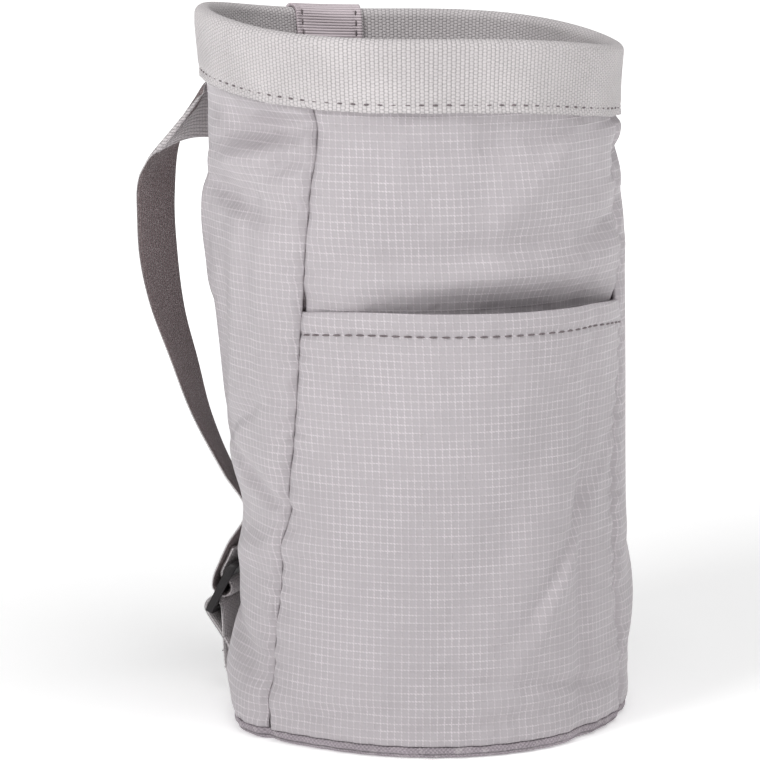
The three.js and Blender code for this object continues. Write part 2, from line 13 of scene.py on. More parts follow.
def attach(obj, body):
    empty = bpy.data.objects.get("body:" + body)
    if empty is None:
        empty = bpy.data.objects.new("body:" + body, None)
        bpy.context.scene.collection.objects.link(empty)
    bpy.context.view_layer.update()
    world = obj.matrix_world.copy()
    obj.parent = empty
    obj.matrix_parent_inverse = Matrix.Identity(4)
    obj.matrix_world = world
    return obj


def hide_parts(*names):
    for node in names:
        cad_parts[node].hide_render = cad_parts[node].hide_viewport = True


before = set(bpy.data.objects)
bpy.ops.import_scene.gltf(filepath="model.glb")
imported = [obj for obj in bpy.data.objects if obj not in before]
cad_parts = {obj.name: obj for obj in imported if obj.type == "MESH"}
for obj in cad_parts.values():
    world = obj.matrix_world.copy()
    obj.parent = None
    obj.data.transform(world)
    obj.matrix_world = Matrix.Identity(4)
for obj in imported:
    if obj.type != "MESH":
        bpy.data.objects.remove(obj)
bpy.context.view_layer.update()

bl_info = {
    "name": "Chalk bag looks",
    "version": (1, 0, 0),
    "blender": (4, 5, 0),
    "location": "3D View > Sidebar > Chalk bag",
    "description": "Dresses the chalk bag's frame with cloth, webbing, stitches and a stage",
    "category": "Object",
}

# The bag's sizes, in millimetres and degrees, as in the part's source
BAG_HEIGHT = 180.0
BAG_RADIUS = 52.5
CLOTH = 1.1
WEBBING = 1.3
GAP = 0.3
BAND_HEIGHT = 18.0
RIM_TILT = 3.7
RIM_RIPPLE = 1.2
BASE_RIM = 3.0
BASE_CORNER = 2.4
POCKET_HEIGHT = 112.3
POCKET_BULGE = 2.6
FRONT_DIP = 4.2
TAPE_WIDTH = 20.0
TAPE = 0.8
STRAP_WIDTH = 15.0
BUCKLE_BAR = 2.0
LIP_LENGTH = 3.2
TAB_SEWN = 9.0
LEAN_ANGLE = -107.5
MOUTH_START = -34.0
TAPE_ANGLE = -171.0
STRAP_ROOT_ANGLE = -177.0
BUCKLE_ANGLE = -127.5
BUCKLE_REACH = 1.105
BUCKLE_LEVEL = 0.13
BUCKLE_LEAN = 25.0
MM = 0.001

# Details that only the looks have, in millimetres
SEAM_GAP = 0.1
SEAM_ROLL = 0.5
BASE_GROOVE = 0.42
BASE_BULGE = 0.55
BASE_GATHER = 0.16
POCKET_CLOTH = 0.48
HEM_TUCK = 2.4
HEM_FOLD = 0.55
BINDING = 0.5
BINDING_WIDTH = 7.0
BINDING_LENGTH = 155.0
RIM_STITCH_MARGIN = 2.0
TAPE_STITCH_MARGIN = 1.7
STRAP_BOX = (0.9, 12.6)
STRAP_BOX_HALF = 5.4
TAB_STITCH_ROWS = (4.2, 8.6)
TAB_STITCH_HALF = 6.2

# Wall sections: height share, radius share, lean share
SECTIONS = np.array([
    (0.0, 1.003, 0.0), (0.1, 0.998, 0.0), (0.24, 0.991, 0.0), (0.38, 0.989, 0.007),
    (0.52, 1.003, 0.027), (0.66, 1.018, 0.052), (0.78, 1.016, 0.068), (0.89, 0.993, 0.086),
    (1.0, 1.02, 0.09),
])

# Side seams: height share, left angle, right angle
SEAMS = np.array([
    (0.0, -67.5, 60), (0.15, -68.3, 57.5), (0.24, -65.5, 56.5), (0.34, -62.3, 55.5),
    (0.42, -58.7, 56.5), (0.5, -55.8, 58.5), (0.61, -52.3, 60), (0.74, -48.6, 61),
    (0.85, -45.4, 61), (1.0, -46.8, 62),
])

# Large dents: angle, height share, half length, half width, slant, depth; half length, half
# width and depth are shares of the bag's radius
DENTS = [
    (-100, 0.31, 0.42, 0.13, 0, 0.056), (-108, 0.2, 0.55, 0.22, 0, 0.045),
    (-129, 0.21, 0.24, 0.2, 0, 0.07), (-77, 0.0, 0.22, 0.14, 0, -0.1),
    (-66, 0.872, 0.26, 0.07, -8, 0.028), (-72, 0.825, 0.24, 0.06, -16, -0.014),
    (-76, 0.775, 0.28, 0.055, -10, 0.02), (-66, 0.45, 0.42, 0.07, 90, -0.014),
    (-40, 0.685, 0.26, 0.07, 43, 0.022), (70, 0.865, 0.3, 0.09, 0, -0.034),
    (71, 0.825, 0.16, 0.05, 20, 0.022), (36, 0.77, 0.34, 0.1, 24, 0.02),
    (42, 0.26, 0.8, 0.2, 90, 0.046), (36, 0.36, 0.24, 0.055, 48, 0.018),
    (150, 0.45, 0.5, 0.3, 70, 0.02),
]

# Fine folds of the loose cloth, in the same columns
FOLDS = [
    (12, 0.675, 0.5, 0.05, 2, -0.012), (5, 0.715, 0.55, 0.05, 6, 0.012),
    (44, 0.72, 0.3, 0.04, 18, 0.012), (2, 0.79, 0.3, 0.07, 78, 0.008),
    (-22, 0.8, 0.32, 0.06, 66, -0.008), (26, 0.83, 0.28, 0.05, 40, -0.008),
    (35, 0.25, 0.8, 0.05, 88, 0.012), (30, 0.3, 0.34, 0.032, 50, 0.009),
    (25, 0.24, 0.38, 0.04, 56, -0.008), (14, 0.4, 0.5, 0.08, 62, 0.006),
    (0, 0.05, 0.6, 0.035, 3, 0.007), (30, 0.085, 0.4, 0.03, -7, 0.009),
    (-40, 0.06, 0.3, 0.03, 8, 0.008), (-78, 0.37, 0.3, 0.04, -25, 0.014),
    (-86, 0.45, 0.26, 0.035, 22, 0.012), (-75, 0.27, 0.3, 0.05, 12, -0.012),
    (-92, 0.6, 0.4, 0.08, 72, 0.012), (-72, 0.64, 0.36, 0.05, 84, 0.008),
    (-70, 0.862, 0.26, 0.045, 10, 0.016), (-74, 0.822, 0.24, 0.035, 14, -0.008),
    (-58, 0.815, 0.12, 0.03, 25, 0.01), (-82, 0.768, 0.2, 0.035, -14, 0.01),
    (-54, 0.845, 0.1, 0.05, 70, 0.008), (20, 0.86, 0.4, 0.04, 4, 0.006),
    (-104, 0.72, 0.36, 0.06, 60, -0.012), (-88, 0.13, 0.3, 0.05, -20, 0.012),
    (-30, 0.5, 0.6, 0.1, 84, 0.005), (-100, 0.0, 0.6, 0.1, 0, 0.02),
    (-84, 0.085, 0.3, 0.06, 0, -0.004),
]

# Strap route: angle, reach share, height share, turn, rise, span share
STRAP_ROUTE = [
    (-156.5, 1.075, 0.846, 105, 88, 1.0), (-142.4, 1.12, 0.851, 106, 75, 1.02),
    (-132.1, 1.189, 0.862, 110, 67, 1.03), (-125.8, 1.242, 0.862, 104, 62, 1.15),
    (-122.2, 1.291, 0.845, 92, 49, 1.32), (-123.3, 1.361, 0.817, 110, 40, 1.27),
    (-123.4, 1.408, 0.787, 121, 30, 1.15), (-122.9, 1.42, 0.728, 125, 11, 1.0),
    (-122.1, 1.402, 0.654, 126, 0, 1.0), (-123.0, 1.365, 0.576, 130, -9, 1.0),
    (-125.0, 1.298, 0.498, 137, -10.6, 1.0), (-127.1, 1.221, 0.413, 146, -10, 1.0),
    (-131.5, 1.105, 0.322, 153, -10, 1.0), (-134, 0.992, 0.268, 149, -5, 1.0),
]

BACK_FOLDS = 16
BACK_FOLDS_SEED = 11


def back_folds():
    """Seeded soft folds for the side and back that the front view doesn't fix."""
    dice = random.Random(BACK_FOLDS_SEED)
    return [
        (dice.uniform(82, 240), dice.uniform(0.08, 0.85), dice.uniform(0.25, 0.5),
         dice.uniform(0.04, 0.09), dice.uniform(-40, 100),
         dice.choice((-1, 1)) * dice.uniform(0.006, 0.013))
        for fold in range(BACK_FOLDS)
    ]


# Narrow dents near the rim are deepened into creases, and so are all the fine folds
CREASE_SHARE = 2.1
CREASE_WIDTH = 0.08
CREASE_LEVEL = 0.7
FOLD_SHARE = 3.0


def deepened(dent):
    crease = dent[3] < CREASE_WIDTH and dent[1] > CREASE_LEVEL
    return (*dent[:5], dent[5] * (CREASE_SHARE if crease else 1))


ALL_DENTS = [deepened(dent) for dent in DENTS]
ALL_DENTS += [(*fold[:5], fold[5] * FOLD_SHARE) for fold in FOLDS + back_folds()]


def read_column(table, column, share):
    """A table's column at a share, eased smoothly between its rows."""
    keys, values = table[:, 0], table[:, column]
    last = len(keys) - 1
    held = np.clip(np.asarray(share, float), keys[0], keys[-1])
    row = np.searchsorted(keys[1:-1], held, side="left")
    before, after = np.maximum(np.arange(last + 1) - 1, 0), np.minimum(np.arange(last + 1) + 1, last)
    slope = (values[after] - values[before]) / (keys[after] - keys[before])
    step = keys[row + 1] - keys[row]
    t = (held - keys[row]) / step
    eased = (2 * t**3 - 3 * t**2 + 1) * values[row] + (3 * t**2 - 2 * t**3) * values[row + 1]
    return eased + (t**3 - 2 * t**2 + t) * slope[row] * step + (t**3 - t**2) * slope[row + 1] * step


def smooth(value, low, high):
    """0 below low and 1 above high, with a smooth step between."""
    t = np.clip((value - low) / (high - low), 0, 1)
    return t * t * (3 - 2 * t)


def hill(distance, width):
    """A rounded hill: 1 in its middle and almost 0 two widths away."""
    return np.exp(-((distance / width) ** 2))


def turned(angle, other):
    """How far an angle is from the other, the short way round."""
    return (angle - other + 180) % 360 - 180


def seam_angle(side, z):
    """A side seam's angle at a height."""
    return read_column(SEAMS, 1 if side == "left" else 2, z / BAG_HEIGHT)


def rim_top(angle):
    """Height of the rim's top, which tilts and ripples a little."""
    turn = np.radians(angle - LEAN_ANGLE - 90)
    return BAG_HEIGHT - RIM_TILT * np.sin(turn) + RIM_RIPPLE * np.sin(3 * turn)


def cloth_top(angle):
    """Height of the cloth's edge inside the folded rim webbing."""
    return rim_top(angle) - (CLOTH + 2 * (WEBBING + GAP)) / 2


def seam_distance(angle, z, side):
    """How far along the wall a point is from a side seam."""
    return np.radians(turned(angle, seam_angle(side, z))) * BAG_RADIUS


def wall_radius(angle, z):
    """Radius of the wall's outer face about its leaning centre line, with dents and seams."""
    depth = np.zeros(np.broadcast(angle, z).shape)
    edge = rim_top(angle) - BAND_HEIGHT - GAP
    for place, height, length, width, slant, deep in ALL_DENTS:
        along, up = np.radians(turned(angle, place)) * BAG_RADIUS, z - height * BAG_HEIGHT
        c, s = math.cos(math.radians(slant)), math.sin(math.radians(slant))
        a, b = (along * c + up * s) / (length * BAG_RADIUS), (up * c - along * s) / (width * BAG_RADIUS)
        depth += deep * BAG_RADIUS * np.exp(-(a * a + b * b) / 2)
    depth *= 1 - smooth(z, edge - BAND_HEIGHT / 7, edge)
    sizes = bpy.context.scene.chalk_bag_sizes
    groove, pucker = sizes.seam_groove / MM, sizes.seam_pucker / MM
    for side in ("left", "right"):
        away = seam_distance(angle, z, side)
        depth += groove * hill(away, 1.3) + SEAM_ROLL * hill(away, 4)
        gathers = np.sin(z * 0.93 + 1.3 * np.sin(z * 0.31) + np.where(away > 0, 1.7, 0))
        depth += pucker * gathers * hill(np.abs(away) - 3, 2.6)
    away = z - BASE_RIM - GAP
    depth += BASE_GROOVE * hill(away, 0.9) - BASE_BULGE * hill(away - 8, 5)
    depth += BASE_GATHER * np.sin(angle * 0.9) * hill(away, 5)
    loose = 1 - smooth(z, edge - 0.5, edge + 2)
    return BAG_RADIUS * read_column(SECTIONS, 1, z / BAG_HEIGHT) - depth * loose


def wall_point(angle, z, offset=0.0):
    """Points at an offset outward from the wall's outer face, in millimetres."""
    angle, z = np.broadcast_arrays(np.asarray(angle, float), np.asarray(z, float))
    lean = BAG_RADIUS * read_column(SECTIONS, 2, z / BAG_HEIGHT)
    reach, lean_turn, turn = wall_radius(angle, z) + offset, math.radians(LEAN_ANGLE), np.radians(angle)
    return np.stack([
        lean * math.sin(lean_turn) + reach * np.sin(turn),
        -lean * math.cos(lean_turn) - reach * np.cos(turn),
        z,
    ], axis=-1)


def mouth_opening(angle):
    """How far the pocket's mouth gapes: 0 at its ends and 1 in the middle."""
    right = seam_angle("right", POCKET_HEIGHT)
    share = np.clip((angle - MOUTH_START) / (right - MOUTH_START), 0, 1)
    return np.sin(math.pi * share).clip(0) ** 0.8


def mouth_height(angle):
    """Height of the pocket's edge, a little lower towards the seams."""
    left, right = seam_angle("left", POCKET_HEIGHT), seam_angle("right", POCKET_HEIGHT)
    share = (angle - (left + right) / 2) / ((right - left) / 2)
    return POCKET_HEIGHT * (1 - 0.016 * share**4 - 0.006 * share)


def mouth_fade(angle, z):
    """1 at the pocket's edge, fading above and below it."""
    distance = z - mouth_height(angle)
    reach = np.where(distance < 0, 0.16, 0.09) * POCKET_HEIGHT
    return hill(distance, reach)


def pocket_offset(angle, z):
    """How far the pocket stands out from the wall."""
    return POCKET_BULGE * mouth_opening(angle) * mouth_fade(angle, z)


def front_offset(angle, z):
    """The front wall's place behind the pocket, and back out above its mouth."""
    above = (z - mouth_height(angle) - GAP) / (0.07 * POCKET_HEIGHT)
    behind = 1 - smooth(above, 0, 1)
    return -(CLOTH + GAP) * behind - FRONT_DIP * mouth_opening(angle) * mouth_fade(angle, z)


# Pieces

def formed_sheet(columns, rows, place, weave):
    """A grid moved into its shape; weave gives its pattern's place on the cloth, in metres."""
    bm = bmesh.new()
    bmesh.ops.create_grid(bm, x_segments=columns, y_segments=rows, size=0.5)
    flat = np.array([v.co[:2] for v in bm.verts]) + 0.5
    u, v = flat[:, 0], flat[:, 1]
    threads, points = weave(u, v), place(u, v) * MM
    layer = bm.loops.layers.uv.new("weave")
    bm.verts.index_update()
    for face in bm.faces:
        for loop in face.loops:
            loop[layer].uv = threads[loop.vert.index]
    for vertex, point in zip(bm.verts, points):
        vertex.co = point
    return bm


def finish_piece(name, bm, material, nodes=(), thickness=0.0):
    """Makes the object and its thickness, and seats it on the frame."""
    mesh = bpy.data.meshes.new(name)
    bm.to_mesh(mesh)
    bm.free()
    mesh.shade_smooth()
    piece = bpy.data.objects.new(name, mesh)
    bpy.context.scene.collection.objects.link(piece)
    mesh.materials.append(material)
    if thickness:
        solid = piece.modifiers.new("thickness", "SOLIDIFY")
        solid.thickness = thickness * MM
        solid.offset = -1
    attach(piece, "root")
    if nodes:
        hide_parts(*nodes)
    return piece


def eased_columns(u):
    """More columns near both edges, where the seams roll in."""
    return 0.55 * u + 0.45 * (0.5 - 0.5 * np.cos(math.pi * u))


def panel(columns, rows, start, end, top, offset, past=0.0):
    """A wall panel between two seams; past carries the rows on over a folded hem."""
    low, half_gap = BASE_RIM + GAP, math.degrees(SEAM_GAP / 2 / BAG_RADIUS)

    def settle(u, v):
        angle, share = np.full(u.shape, (start(90.0) + end(90.0)) / 2), np.clip(v, 0, 1)
        for step in range(5):
            z = low + share * (top(angle) - low)
            first, second = start(z) + half_gap, end(z) - half_gap
            angle = first + eased_columns(u) * (second - first)
        return angle, z

    def place(u, v):
        reach = v * (1 + past)
        angle, z = settle(u, reach)
        rise = top(angle) - low
        beyond = np.maximum(reach - 1, 0) * rise
        points = wall_point(angle, z, offset(angle, z))
        if not past:
            return points
        turn = np.clip(beyond / HEM_FOLD, 0, math.pi)
        down = np.maximum(beyond - math.pi * HEM_FOLD, 0)
        fold_z = z + HEM_FOLD * np.sin(turn) * (beyond > 0) - down
        fold_offset = offset(angle, np.minimum(fold_z, top(angle))) - HEM_FOLD * (1 - np.cos(turn))
        folded = wall_point(angle, np.minimum(fold_z, top(angle)), fold_offset)
        folded[:, 2] = fold_z
        return np.where((beyond > 0)[:, None], folded, points)

    def weave(u, v):
        reach = v * (1 + past)
        angle, z = settle(u, reach)
        beyond = np.maximum(reach - 1, 0) * (top(angle) - low)
        return np.stack([np.radians(angle) * BAG_RADIUS * MM, (z + beyond) * MM], axis=-1)

    return formed_sheet(columns, rows, place, weave)


def fold_path(share, radius, drop):
    """Across, depth and run of a U-fold at shares of its length, from outside over the top."""
    leg, arc = drop - radius, math.pi * radius
    run = share * (2 * leg + arc)
    turn = np.clip((run - leg) / radius, 0, math.pi)
    depth = radius - radius * np.sin(turn)
    depth = np.where(run < leg, drop - run, np.where(run > leg + arc, radius + run - leg - arc, depth))
    return radius * np.cos(turn), depth, run


def stitch_row(bm, points, normals, length):
    """One small rounded stitch at each point, along the row."""
    width = bpy.context.scene.chalk_bag_sizes.stitch_width / MM
    for index, (point, normal) in enumerate(zip(points, normals)):
        ahead = Vector(points[min(index + 1, len(points) - 1)]) - Vector(points[max(index - 1, 0)])
        normal = Vector(normal).normalized()
        along = (ahead - normal * ahead.dot(normal)).normalized()
        across = normal.cross(along)
        thread = Matrix((across * width / 2, normal * width / 2, along * length / 2))
        spot = Matrix.Translation(Vector(point) * MM) @ thread.transposed().to_4x4()
        bmesh.ops.create_uvsphere(bm, u_segments=8, v_segments=6, radius=MM, matrix=spot)


def wall_normals(angles, inward=False):
    """Level directions out of the wall, or into the bag."""
    turn, sign = np.radians(angles), -1 if inward else 1
    return np.stack([np.sin(turn), -np.cos(turn), np.zeros(len(turn))], axis=-1) * sign


def catmull(points, per_row):
    """Points of a centripetal curve through the rows, each row's end included."""
    rows = [np.asarray(p, float) for p in points]
    rows = [2 * rows[0] - rows[1]] + rows + [2 * rows[-1] - rows[-2]]
    made = []
    for i in range(1, len(rows) - 2):
        p0, p1, p2, p3 = near = rows[i - 1:i + 3]
        d0, d1, d2 = (max(np.sum((b[:3] - a[:3]) ** 2) ** 0.25, 1e-3) for a, b in zip(near, near[1:]))
        t1 = ((p1 - p0) / d0 - (p2 - p0) / (d0 + d1) + (p2 - p1) / d1) * d1
        t2 = ((p2 - p1) / d1 - (p3 - p1) / (d1 + d2) + (p3 - p2) / d2) * d1
        for step in range(per_row):
            t = step / per_row
            made.append((2 * t**3 - 3 * t**2 + 1) * p1 + (t**3 - 2 * t**2 + t) * t1
                        + (3 * t**2 - 2 * t**3) * p2 + (t**3 - t**2) * t2)
    made.append(rows[-2])
    return np.array(made)


def webbing_run(rows, per_row):
    """Flat webbing with rounded edges along rows of centre, width direction and half width."""
    path = catmull([np.concatenate([c, s, [h]]) for c, s, h in rows], per_row)
    centre, side, half = path[:, :3], path[:, 3:6], path[:, 6]
    side /= np.linalg.norm(side, axis=1)[:, None]
    along = np.gradient(centre, axis=0)
    along /= np.linalg.norm(along, axis=1)[:, None]
    face = np.cross(along, side)
    face /= np.linalg.norm(face, axis=1)[:, None]
    run = np.concatenate([[0], np.cumsum(np.linalg.norm(np.diff(centre, axis=0), axis=1))])
    count, around = len(path) - 1, 28

    def section(u):
        turn = 2 * math.pi * u
        c, s = np.cos(turn), np.sin(turn)
        wide = np.sign(c) * np.abs(c) ** 0.35
        thick = np.sign(s) * np.abs(s) ** 0.55
        return wide, thick

    def place(u, v):
        at = np.rint(v * count).astype(int)
        wide, thick = section(u)
        across, proud = (wide * half[at])[:, None], (thick * WEBBING / 2)[:, None]
        return centre[at] + side[at] * across + face[at] * proud

    def weave(u, v):
        at = np.rint(v * count).astype(int)
        wide = section(u)[0]
        across = np.where(u < 0.5, wide * half[at], 2 * STRAP_WIDTH + wide * half[at])
        return np.stack([across * MM, run[at] * MM], axis=-1)

    bm = formed_sheet(around, count, place, weave)
    bmesh.ops.remove_doubles(bm, verts=bm.verts, dist=1e-6)
    ends = [edge for edge in bm.edges if edge.is_boundary]
    bmesh.ops.holes_fill(bm, edges=ends, sides=0)
    bmesh.ops.recalc_face_normals(bm, faces=bm.faces)
    return bm


def buckle_place(along, out):
    """A point in the ladder lock's frame, then its width, run and face directions and origin."""
    turn, lean = math.radians(BUCKLE_ANGLE), math.radians(BUCKLE_LEAN)
    outward = np.array([math.sin(turn), -math.cos(turn), 0.0])
    width = np.array([-math.cos(turn), -math.sin(turn), 0.0])
    run = np.array([0, 0, math.cos(lean)]) - outward * math.sin(lean)
    face = np.cross(width, run)
    origin = outward * BUCKLE_REACH * BAG_RADIUS + np.array([0, 0, BUCKLE_LEVEL * BAG_HEIGHT])
    return origin + run * along + face * out, width, run, face, origin


# The webbing's loop round a bar, and how far the middle and lock bars are from the tab bar
LOOP = BUCKLE_BAR / math.sqrt(2) + GAP + WEBBING / 2
MIDDLE_BAR = 2 * (LOOP + WEBBING / 2) + 1.5 * GAP
LOCK_BAR = MIDDLE_BAR + LOOP + WEBBING / 2 + 2 * GAP + BUCKLE_BAR / 2


def strap_rows():
    """Rows of the strap: flat on the back, its free bow, and its way through the ladder lock."""
    half, level = STRAP_WIDTH / 2, STRAP_ROUTE[0][2] * BAG_HEIGHT
    on_wall = GAP + WEBBING / 2
    rows = []
    for share in (0, 0.35, 0.7):
        angle = STRAP_ROOT_ANGLE + share * (STRAP_ROUTE[0][0] - STRAP_ROOT_ANGLE)
        low, high = wall_point(angle, level - half, on_wall), wall_point(angle, level + half, on_wall)
        rows.append(((low + high) / 2, (high - low) / np.linalg.norm(high - low), half))
    for angle, reach, height, turn, rise, span in STRAP_ROUTE:
        a, t, r = math.radians(angle), math.radians(turn), math.radians(rise)
        reach *= BAG_RADIUS
        centre = np.array([reach * math.sin(a), -reach * math.cos(a), height * BAG_HEIGHT])
        side = np.array([math.cos(r) * math.sin(t), -math.cos(r) * math.cos(t), math.sin(r)])
        rows.append((centre, side, span * half))
    behind = BUCKLE_BAR / 2 + GAP + WEBBING / 2
    load = behind + WEBBING + GAP
    corner = LOCK_BAR - BUCKLE_BAR / 2
    threaded = [(LOCK_BAR + 2 * LIP_LENGTH, -load), (LOCK_BAR, -load), (MIDDLE_BAR + LOOP, -load),
                (MIDDLE_BAR + 0.2 * LOOP, -load + GAP), (MIDDLE_BAR - 0.68 * LOOP, -LOOP)]
    for turn in (200, 170, 140, 110, 80, 50, 20, 0):
        t = math.radians(turn)
        threaded.append((MIDDLE_BAR + LOOP * math.cos(t), LOOP * math.sin(t)))
    threaded += [(corner - 4 * GAP, -0.65 * behind), (corner - GAP, -behind),
                 (LOCK_BAR + LIP_LENGTH, -behind), (LOCK_BAR + 2 * LIP_LENGTH, -behind)]
    for along, out in threaded:
        rows.append((*buckle_place(along, out)[:2], half))
    return rows


def tab_rows():
    """Rows of the tab: up the cloth from the base seam, around the tab bar and back down."""
    half, on_wall, layer = STRAP_WIDTH / 2, GAP + WEBBING / 2, WEBBING + GAP
    low = BASE_RIM + GAP
    middle = low + TAB_SEWN
    width, run, face, origin = buckle_place(0, 0)[1:]
    sewn = lambda height, offset: wall_point(BUCKLE_ANGLE, height, offset)
    pull = sewn(middle, on_wall + layer / 2) - origin
    start = math.atan2(-pull @ face, -pull @ run)
    points = [sewn(low, on_wall), sewn(low + TAB_SEWN / 2, on_wall), sewn(middle, on_wall)]
    for step in range(9):
        turn = start + math.pi * step / 8
        points.append(buckle_place(LOOP * math.sin(turn), -LOOP * math.cos(turn))[0])
    for height in (middle, low + TAB_SEWN / 2, low):
        points.append(sewn(height, on_wall + layer))
    return [(np.asarray(point), width, half) for point in points]


# Finishes, with the spacing of their threads in metres, the colour of chalk dust and the share of painted
# shade on one face of the strap

RIPSTOP_GRID = (0.0018, 0.0020)
RIPSTOP_THREAD = 0.00030
RIPSTOP_BREAK = 0.00084
RIM_PICK = 0.0009
STRAP_RIB = STRAP_PICK = 0.0010
TAPE_THREAD = 0.00034
BINDING_RIB = 0.0006
BASE_THREAD = 0.00055
CHALK_DUST = (0.84, 0.82, 0.82)
# Share of the webbing's colour on the strap face that gets painted shade, as if turned from the light
PAINTED_SHADE_FACE = (0.58, 0.52, 0.52)


def linear(colour):
    """A picked screen colour as the linear colour that a shader takes."""
    return tuple(((c + 0.055) / 1.055) ** 2.4 if c > 0.04045 else c / 12.92 for c in colour) + (1.0,)


def toned(colour, share):
    """The linear colour of a picked colour made darker or lighter by a share."""
    return linear([min(c * share, 1) for c in colour])


class Finish:
    """A procedural material on the piece's own thread map and Object coordinates, in metres."""

    def __init__(self, name, roughness, sheen=0.0):
        self.material = bpy.data.materials.new(name)
        self.material.use_nodes = True
        self.nodes, self.links = self.material.node_tree.nodes, self.material.node_tree.links
        self.shader = self.nodes["Principled BSDF"]
        self.shader.inputs["Roughness"].default_value = roughness
        self.shader.inputs["Sheen Weight"].default_value = sheen
        self.shader.inputs["Sheen Roughness"].default_value = 0.4
        self.shader.inputs["Specular IOR Level"].default_value = 0.3

    def put(self, socket, value):
        if isinstance(value, bpy.types.NodeSocket):
            self.links.new(value, socket)
        else:
            socket.default_value = value

    def maths(self, operation, a, b=0.0):
        node = self.nodes.new("ShaderNodeMath")
        node.operation = operation
        for socket, value in zip(node.inputs, (a, b)):
            self.put(socket, value)
        return node.outputs[0]

    def threads(self):
        node = self.nodes.new("ShaderNodeUVMap")
        node.uv_map = "weave"
        split = self.nodes.new("ShaderNodeSeparateXYZ")
        self.links.new(node.outputs[0], split.inputs[0])
        return split.outputs[0], split.outputs[1]

    def place(self):
        return self.nodes.new("ShaderNodeTexCoord").outputs["Object"]

    def noise(self, scale, detail=2.0, stretch=None):
        node = self.nodes.new("ShaderNodeTexNoise")
        node.inputs["Scale"].default_value = scale
        node.inputs["Detail"].default_value = detail
        if stretch:
            shaped = self.nodes.new("ShaderNodeMapping")
            shaped.inputs["Scale"].default_value = stretch
            self.links.new(self.place(), shaped.inputs[0])
            self.links.new(shaped.outputs[0], node.inputs["Vector"])
        else:
            self.links.new(self.place(), node.inputs["Vector"])
        return node.outputs["Fac"]

    def range(self, value, low, high, new_low, new_high, shape="SMOOTHSTEP"):
        node = self.nodes.new("ShaderNodeMapRange")
        node.interpolation_type = shape
        for socket, number in zip(node.inputs[:5], (value, low, high, new_low, new_high)):
            self.put(socket, number)
        return node.outputs[0]

    def mix(self, share, first, second):
        node = self.nodes.new("ShaderNodeMix")
        node.data_type = "RGBA"
        self.put(node.inputs["Factor"], share)
        self.put(node.inputs[6], first)
        self.put(node.inputs[7], second)
        return node.outputs[2]

    def clouds(self, scale, colour, darkest):
        """The piece's colour with soft, slightly darker clouds."""
        share = self.range(self.noise(scale, 3), 0.35, 0.65, 0, 1)
        return self.mix(share, toned(colour, darkest), linear(colour))

    def ripple(self, value, pitch):
        """Rounded threads side by side: 0 between them and 1 on top."""
        return self.maths("ABSOLUTE", self.maths("SINE", self.maths("MULTIPLY", value, math.pi / pitch)))

    def bump(self, height, depth, below=None):
        """A relief whose height from 0 to 1 is a depth in metres."""
        node = self.nodes.new("ShaderNodeBump")
        node.inputs["Strength"].default_value = 1.0
        node.inputs["Distance"].default_value = depth
        self.links.new(height, node.inputs["Height"])
        if below is not None:
            self.links.new(below, node.inputs["Normal"])
        return node.outputs[0]

    def done(self, colour, roughness, normal):
        self.links.new(colour, self.shader.inputs["Base Color"])
        self.links.new(roughness, self.shader.inputs["Roughness"])
        self.links.new(normal, self.shader.inputs["Normal"])
        return self.material


def ripstop_finish(name, colour):
    """Smooth light cloth with a lighter grid of doubled threads, and small soft wrinkles."""
    f = Finish(name, 0.55, 0.12)
    u, v = f.threads()
    lines = []
    for value, pitch in zip((u, v), RIPSTOP_GRID):
        lines.append(f.range(f.ripple(value, pitch), 0.925, 0.992, 0, 1))
    grid = f.maths("MAXIMUM", *lines)
    crossing = f.maths("MULTIPLY", *lines)
    fine = f.maths("MULTIPLY", f.ripple(u, RIPSTOP_THREAD), f.ripple(v, RIPSTOP_THREAD))
    cloudy = f.noise(22, 2)
    worn = f.range(f.noise(160, 2), 0.3, 0.75, 0.3, 0.75)
    body = f.mix(f.range(cloudy, 0.3, 0.7, 0, 1), toned(colour, 0.975), linear(colour))
    broken = f.range(f.ripple(f.maths("ADD", u, v), RIPSTOP_BREAK), 0.15, 0.75, 0.2, 1)
    lit = f.maths("MULTIPLY", f.maths("MULTIPLY", grid, worn), broken)
    shade = f.mix(lit, body, toned(colour, 1.2))
    shade = f.mix(f.maths("MULTIPLY", crossing, 0.25), shade, toned(colour, 1.28))
    wrinkles = f.bump(f.noise(70, 3), 0.0024)
    crinkle = f.bump(f.noise(260, 2), 0.0003, wrinkles)
    relief = f.bump(f.maths("ADD", grid, f.maths("MULTIPLY", fine, 0.3)), 0.00007, crinkle)
    return f.done(shade, f.range(grid, 0, 1, 0.56, 0.42), relief)


def webbing_finish(name, colour, column, row, shaded_face=False):
    """Woven webbing: upright ribs crossed by staggered picks, with painted shade in the gaps between them;
    one face of a strap can be given painted shade.
    """
    f = Finish(name, 0.8, 0.25)
    u, v = f.threads()
    ribs = f.ripple(u, column)
    stagger = f.maths("MULTIPLY", f.maths("FLOOR", f.maths("DIVIDE", u, column)), row / 2)
    picks = f.ripple(f.maths("ADD", v, stagger), row)
    knit = f.maths("MULTIPLY", f.maths("POWER", ribs, 0.6), f.range(picks, 0, 0.7, 0.35, 1))
    fibre = f.noise(2600, 2)
    base = f.clouds(45, colour, 0.95)
    if shaded_face:
        # Painted shade: one face of the strap is darkened, as if it were turned from the light
        unshaded_face = f.range(u, STRAP_WIDTH * MM, STRAP_WIDTH * MM * 1.02, 0, 1, "LINEAR")
        darker = linear([c * share for c, share in zip(colour, PAINTED_SHADE_FACE)])
        base = f.mix(unshaded_face, darker, base)
    # Painted shade: the gaps between ribs and picks are darkened
    shade = f.mix(f.range(knit, 0.1, 0.7, 0.5, 0), base, toned(colour, 0.5))
    shade = f.mix(f.range(fibre, 0.45, 0.75, 0, 0.25), shade, toned(colour, 1.12))
    soft = f.bump(f.noise(180, 2), 0.00025)
    return f.done(shade, f.range(knit, 0, 1, 0.92, 0.74), f.bump(knit, 0.00022, soft))


